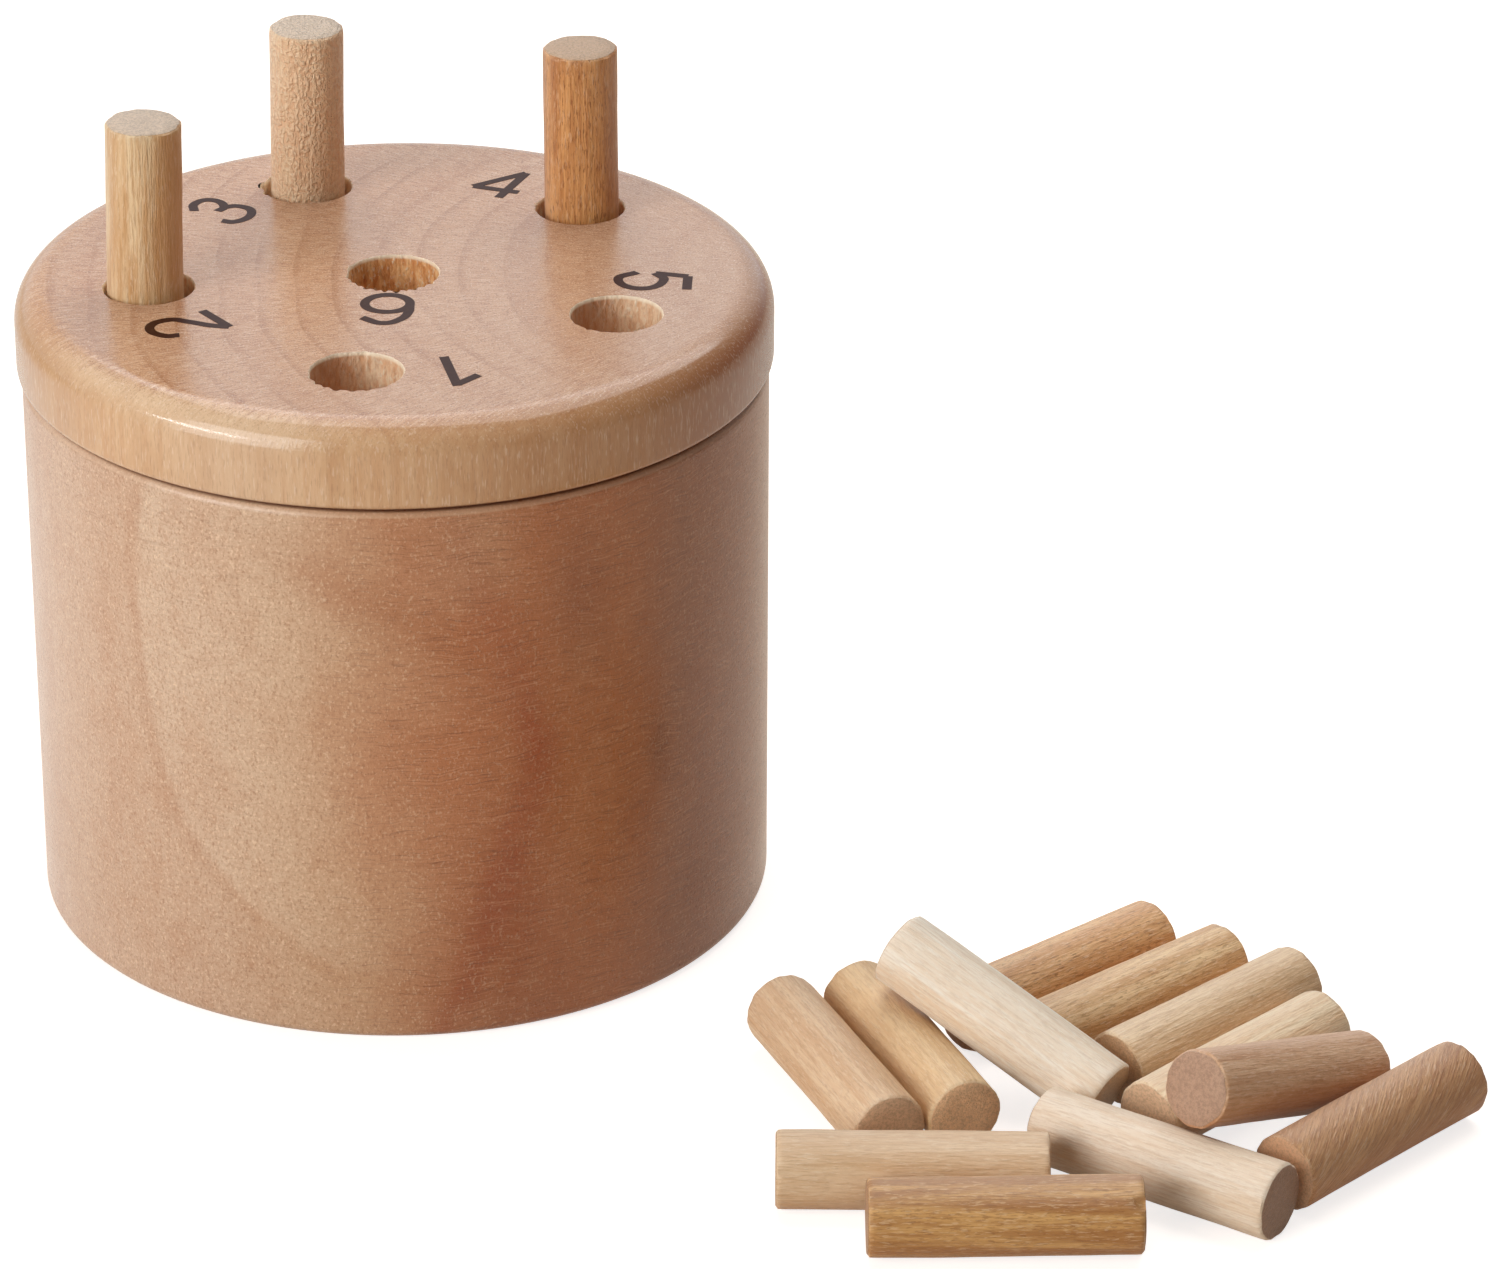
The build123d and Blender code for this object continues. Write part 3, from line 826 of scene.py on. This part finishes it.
def stroke_solid(points):
    """One stroke as a thin solid: a flat ribbon along a smooth curve through its points."""
    line = bpy.data.curves.new("stroke", "CURVE")
    line.dimensions = "3D"
    line.twist_mode = "Z_UP"
    line.extrude = STROKE_WIDTH / 2
    line.resolution_u = 16
    spline = line.splines.new("BEZIER")
    loop = points[0] == points[-1]
    knots = points[:-1] if loop else points
    spline.use_cyclic_u = loop
    spline.bezier_points.add(len(knots) - 1)
    for knot, (x, y) in zip(spline.bezier_points, knots):
        knot.co = (x, y, 0)
        knot.handle_left_type = knot.handle_right_type = "AUTO" if len(points) > 2 else "VECTOR"
        knot.tilt = pi / 2
    holder = bpy.data.objects.new("stroke", line)
    ribbon = bpy.data.meshes.new_from_object(holder)
    bpy.data.objects.remove(holder)
    body = bmesh.new()
    body.from_mesh(ribbon)
    bmesh.ops.remove_doubles(body, verts=body.verts, dist=0.0001)
    for vert in body.verts:
        vert.co.z = 0
    grown = bmesh.ops.extrude_face_region(body, geom=list(body.faces))["geom"]
    tops = [item for item in grown if isinstance(item, bmesh.types.BMVert)]
    bmesh.ops.translate(body, vec=(0, 0, INK_THICKNESS), verts=tops)
    bmesh.ops.recalc_face_normals(body, faces=body.faces)
    return as_object(body, "stroke")


def joined_strokes(strokes):
    """The strokes of a numeral made into one shape, without overlaps."""
    first, *others = strokes
    for other in others:
        add_boolean(first, other, "UNION")
    seen = first.evaluated_get(bpy.context.evaluated_depsgraph_get())
    body = bmesh.new()
    body.from_mesh(seen.to_mesh())
    for stroke in strokes:
        bpy.data.objects.remove(stroke)
    return body


numeral_ink = ink()
for number, strokes in NUMERALS.items():
    body = joined_strokes([stroke_solid(points) for points in strokes])
    bmesh.ops.translate(body, vec=(0, 0, LID_TOP + INK_GAP), verts=body.verts)
    numeral = finished(body, f"numeral_{number}", numeral_ink)
    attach(numeral, "lid")

# The die: a block with rounded edges and a painted hollow for each pip. A face is its way out and its way across.
DIE_SIZE = 12.0
DIE_ROUNDING = 1.5
DIE_TURN = 25.0
PIP_STEP = 3.1
PIP_RADIUS = 1.0
PIP_DEPTH = 0.4
CORNER_PIPS = [(-PIP_STEP, -PIP_STEP), (-PIP_STEP, PIP_STEP), (PIP_STEP, -PIP_STEP), (PIP_STEP, PIP_STEP)]
PIPS = {
    1: [(0, 0)],
    2: [(-PIP_STEP, -PIP_STEP), (PIP_STEP, PIP_STEP)],
    3: [(-PIP_STEP, -PIP_STEP), (0, 0), (PIP_STEP, PIP_STEP)],
    4: CORNER_PIPS,
    5: CORNER_PIPS + [(0, 0)],
    6: CORNER_PIPS + [(-PIP_STEP, 0), (PIP_STEP, 0)],
}
DIE_FACES = {
    6: ((0, 0, 1), (1, 0, 0)), 1: ((0, 0, -1), (1, 0, 0)), 5: ((1, 0, 0), (0, 0, 1)),
    2: ((-1, 0, 0), (0, 0, 1)), 4: ((0, 1, 0), (0, 0, 1)), 3: ((0, -1, 0), (0, 0, 1)),
}


def die_piece(middle):
    """The die, with its middle in millimetres."""
    wood = die_wood(tuple(middle * MM), (0, 0, radians(DIE_TURN)))
    paint = pip_paint()
    block = bmesh.new()
    bmesh.ops.create_cube(block, size=DIE_SIZE)
    bmesh.ops.bevel(
        block, geom=block.edges[:], offset=DIE_ROUNDING, segments=6, profile=0.5, affect="EDGES", material=-1,
    )
    balls = bmesh.new()
    ball_radius = (PIP_RADIUS ** 2 + PIP_DEPTH ** 2) / (2 * PIP_DEPTH)
    for pips, (outward, across) in DIE_FACES.items():
        outward, across = Vector(outward), Vector(across)
        along = outward.cross(across)
        for right, up in PIPS[pips]:
            ball = bmesh.ops.create_uvsphere(balls, u_segments=32, v_segments=24, radius=ball_radius)["verts"]
            to = across * right + along * up + outward * (DIE_SIZE / 2 + ball_radius - PIP_DEPTH)
            bmesh.ops.translate(balls, verts=ball, vec=to)
    cut_block = as_object(block, "die_block", wood)
    hollows = as_object(balls, "pip_hollows", paint)
    add_boolean(cut_block, hollows, "DIFFERENCE").material_mode = "TRANSFER"
    seen = cut_block.evaluated_get(bpy.context.evaluated_depsgraph_get())
    body = bmesh.new()
    body.from_mesh(seen.to_mesh())
    found = [slot.material.name for slot in seen.material_slots]
    for face in body.faces:
        bare = face.material_index < len(found) and found[face.material_index] == wood.name
        face.material_index = 0 if bare else 1
    for thing in (cut_block, hollows):
        bpy.data.objects.remove(thing)
    turn = Matrix.Rotation(radians(DIE_TURN), 3, "Z")
    bmesh.ops.rotate(body, verts=body.verts, cent=(0, 0, 0), matrix=turn)
    bmesh.ops.translate(body, verts=body.verts, vec=middle)
    return finished(body, "painted_die", wood, paint)


die_low, die_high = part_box("die")
die = die_piece((die_low + die_high) / 2 / MM)
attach(die, "die")
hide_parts("die")

# Floor, lights and camera. These lengths are in metres.
FLOOR_HALF_WIDTH = 3.0
WHITE = (1, 1, 1, 1)


def floor_finish():
    """A pale floor that shows nearly white, and whose mirror image in the wood is brighter close behind the cup."""
    finish = Finish("pale_floor")
    ray = finish.node("LightPath")
    direct = Figure(finish, ray.outputs["Is Camera Ray"])
    mirrored = Figure(finish, ray.outputs["Is Glossy Ray"])
    matt = finish.node("BsdfDiffuse", None, {"Color": (0.68, 0.61, 0.54, 1)})
    x, y, _ = finish.parts(finish.node("TexCoord").outputs["Object"])
    near_behind = finish.step(y, -0.06, 0.02) * finish.step(y, 0.16, 0.06)
    to_left = finish.step(x, 0.05, -0.2)
    by_cup = finish.step(finish.length(x, y), 0.047, 0.041)
    strength = direct * 0.76 + mirrored * (0.3 + near_behind * (0.14 + to_left * 0.32) + by_cup * 0.2)
    mirrored_tone = finish.mix(finish.step(x, -0.08, 0.06), (0.92, 1, 1.06, 1), (1, 0.93, 0.8, 1))
    tone = finish.mix(mirrored, WHITE, mirrored_tone)
    glow = finish.node("Emission", None, {"Color": tone, "Strength": strength})
    both = finish.node("AddShader", None, {0: matt.outputs[0], 1: glow.outputs[0]})
    finish.node("OutputMaterial", None, {"Surface": both.outputs[0]})
    return finish.material


def studio_world():
    """A white background, dim light from all round, and a bright backdrop for the wood to mirror."""
    world = bpy.data.worlds.new("studio")
    world.use_nodes = True
    sky = Nodes(world.node_tree)
    ray = sky.node("LightPath")
    direct, passed, mirrored = (
        Figure(sky, ray.outputs[name]) for name in ("Is Camera Ray", "Is Transmission Ray", "Is Glossy Ray")
    )
    seen = sky.maths("MAXIMUM", direct, passed)
    x, y, z = sky.parts(sky.node("TexCoord").outputs["Generated"])
    backdrop = sky.step(z, 0.86, 0.6) * sky.step(y, -0.5, 0.1) * sky.step(x, 0.7, 0.25)
    unseen_strength = mirrored * (backdrop * 0.8 + 0.3) + (1.0 - mirrored) * 0.15
    strength = seen + (1.0 - seen) * unseen_strength
    unseen_tone = sky.mix(mirrored, (1, 0.97, 0.93, 1), (0.86, 0.97, 1.06, 1))
    tone = sky.mix(seen, unseen_tone, WHITE)
    background = sky.node("Background", None, {"Color": tone, "Strength": strength})
    sky.node("OutputWorld", None, {0: background.outputs[0]})
    return world


ground_shape = bmesh.new()
bmesh.ops.create_grid(ground_shape, x_segments=1, y_segments=1, size=FLOOR_HALF_WIDTH / MM)
ground = finished(ground_shape, "pale_floor", floor_finish())
bpy.context.scene.world = studio_world()

LAMP_AIM = Vector((0.02, 0.0, 0.04))


def soft_lamp(name, turn, rise, distance, width, height, power):
    """A soft lamp that faces the lid: its turn from the front, its rise, and its distance, width and height."""
    light = bpy.data.lights.new(name, "AREA")
    light.shape = "RECTANGLE"
    light.size, light.size_y = width, height
    light.energy = power
    lamp = bpy.data.objects.new(name, light)
    turn, rise = radians(turn), radians(rise)
    way = Vector((sin(turn) * cos(rise), -cos(turn) * cos(rise), sin(rise)))
    lamp.location = LAMP_AIM + way * distance
    lamp.rotation_euler = way.to_track_quat("Z", "Y").to_euler()
    bpy.context.scene.collection.objects.link(lamp)


soft_lamp("front_left_lamp", -45, 22, 1.5, 1.0, 1.0, 12.5)
soft_lamp("back_top_lamp", 170, 64, 1.3, 1.3, 1.3, 13.2)
soft_lamp("streak_lamp", -59, 22, 1.0, 0.46, 0.05, 1.35)

# The photo's own viewpoint, worked out from the rims of the cup and the lid and the sides of the pegs
CAMERA_PLACE = (0.037098, -0.603319, 0.323572)
CAMERA_PITCH = 26.127
CAMERA_ROLL = 0.246
eye = bpy.data.cameras.new("eye")
eye.sensor_width = 36.0
eye.lens = 150.93
camera = bpy.data.objects.new("eye", eye)
camera.matrix_world = (
    Matrix.Translation(CAMERA_PLACE)
    @ Matrix.Rotation(pi / 2 - radians(CAMERA_PITCH), 4, "X")
    @ Matrix.Rotation(radians(CAMERA_ROLL), 4, "Z")
)
bpy.context.scene.collection.objects.link(camera)
bpy.context.scene.camera = camera
bpy.context.scene.view_settings.view_transform = "Standard"
